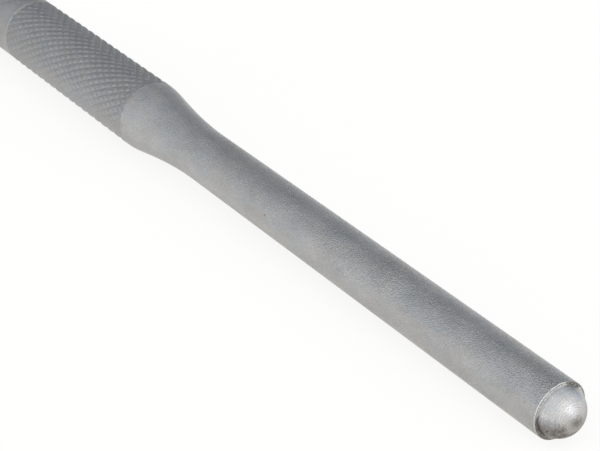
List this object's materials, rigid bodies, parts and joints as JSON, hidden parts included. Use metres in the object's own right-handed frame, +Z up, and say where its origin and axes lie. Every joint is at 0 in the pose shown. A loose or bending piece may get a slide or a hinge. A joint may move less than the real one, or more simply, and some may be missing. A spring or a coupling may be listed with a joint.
{
  "type": "pin punch",
  "caption": "Steel pin punch: straight round shank with a rounded pilot nose, flared shoulder, diamond-knurled grip and a plain striking head with a bevelled flat face.",
  "frame": {"origin": "centre of the striking face", "axes": "+X along the punch's own axis, from the striking face to the nose; +Z up as it lies. The punch is round, so Y and Z are alike."},
  "size_m": [0.1524, 0.0112, 0.0112],
  "materials": {
    "blasted_steel": "fine blasted, dull satin grey with faint darker clouds",
    "knurled_steel": "rolled diamond knurling, blasted dull grey",
    "turned_steel": "turned, fine concentric tool marks, a little brighter than the shank"
  },
  "bodies": {
    "root": {"striking_head": "blasted_steel", "knurled_grip": "knurled_steel", "shoulder": "blasted_steel", "shank": "blasted_steel", "pilot_nose": "turned_steel"}
  },
  "joints": []
}
